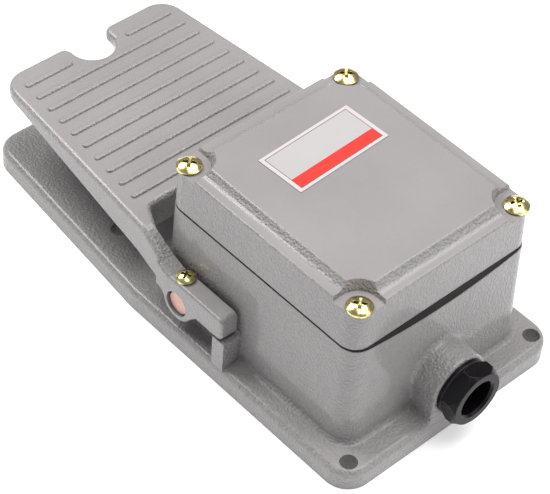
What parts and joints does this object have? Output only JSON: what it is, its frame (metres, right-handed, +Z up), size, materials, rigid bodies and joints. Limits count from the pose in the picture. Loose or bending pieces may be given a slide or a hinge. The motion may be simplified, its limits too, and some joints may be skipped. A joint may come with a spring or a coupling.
{
  "type": "industrial foot switch",
  "caption": "Industrial foot switch: painted cast base and switch box with a screwed cover, a hinged ribbed pedal on a through shaft, and a black cable gland.",
  "frame": {"origin": "middle of the base plate's length and width, on the floor plane", "axes": "+X across the width, +Y along the length from the pedal's toe to the cable gland, +Z up"},
  "size_m": [0.105, 0.2187, 0.0759],
  "materials": {
    "casting_paint": "light grey hammer-tone paint on a casting",
    "cover_paint": "light grey hammer-tone paint on a casting",
    "pedal_paint": "light grey paint, smoother on the treadle",
    "gasket_rubber": "matt black rubber",
    "yellow_zinc": "steel, zinc plated and yellow passivated",
    "label_film": "white film with a red band and a thin line, no text",
    "shaft_steel": "steel shaft with a copper flash",
    "bush_bronze": "sintered bronze",
    "seal_rubber": "black nitrile rubber",
    "inner_steel": "bright zinc-plated steel",
    "spring_steel": "oiled spring steel",
    "block_moulding": "black phenolic moulding",
    "plunger_moulding": "natural nylon",
    "contact_brass": "brass strip with silver contact buttons",
    "gland_nylon": "black nylon"
  },
  "bodies": {
    "housing": {"base_casting": "casting_paint", "cover": "cover_paint", "cover_gasket": "gasket_rubber", "cover_screws": "yellow_zinc", "label_plate": "label_film", "shaft_bushes": "bush_bronze", "shaft_seals": "seal_rubber", "return_spring": "spring_steel", "spring_cup": "inner_steel", "cup_rivets": "inner_steel", "mounting_plate": "inner_steel", "plate_screws": "yellow_zinc", "contact_block_body": "block_moulding", "contact_block_lid": "block_moulding", "block_screws": "inner_steel", "plunger_spring": "spring_steel", "contacts_normally_closed": "contact_brass", "contacts_normally_open": "contact_brass", "terminal_screws": "yellow_zinc", "gland_screw": "gland_nylon", "gland_washer": "inner_steel", "gland_seal": "seal_rubber", "earth_screw": "yellow_zinc", "earth_washer": "inner_steel"},
    "pedal_assembly": {"pedal": "pedal_paint", "arm_set_screws": "yellow_zinc", "hinge_shaft": "shaft_steel", "actuating_lever": "inner_steel", "lever_pin": "inner_steel"},
    "plunger_assembly": {"plunger": "plunger_moulding", "contact_bridge": "contact_brass"}
  },
  "joints": [
    {"name": "pedal_hinge", "type": "hinge", "parent": "housing", "child": "pedal_assembly", "pos_m": [0, 0.0142, 0.0212], "axis": [1, 0, 0], "range_deg": [0, 10], "stiffness_Nm_per_rad": 8, "springref_deg": -14.32, "deforming": ["return_spring", "plunger_spring"]},
    {"name": "plunger_slide", "type": "slide", "parent": "housing", "child": "plunger_assembly", "axis": [0, 0, 1], "range_m": [0, 0.0069], "stiffness_N_per_m": 150, "springref_m": -0.01, "deforming": ["plunger_spring"]}
  ],
  "couplings": [
    {"joint": "plunger_slide", "follows": "pedal_hinge", "m_per_rad": 0.039055}
  ]
}
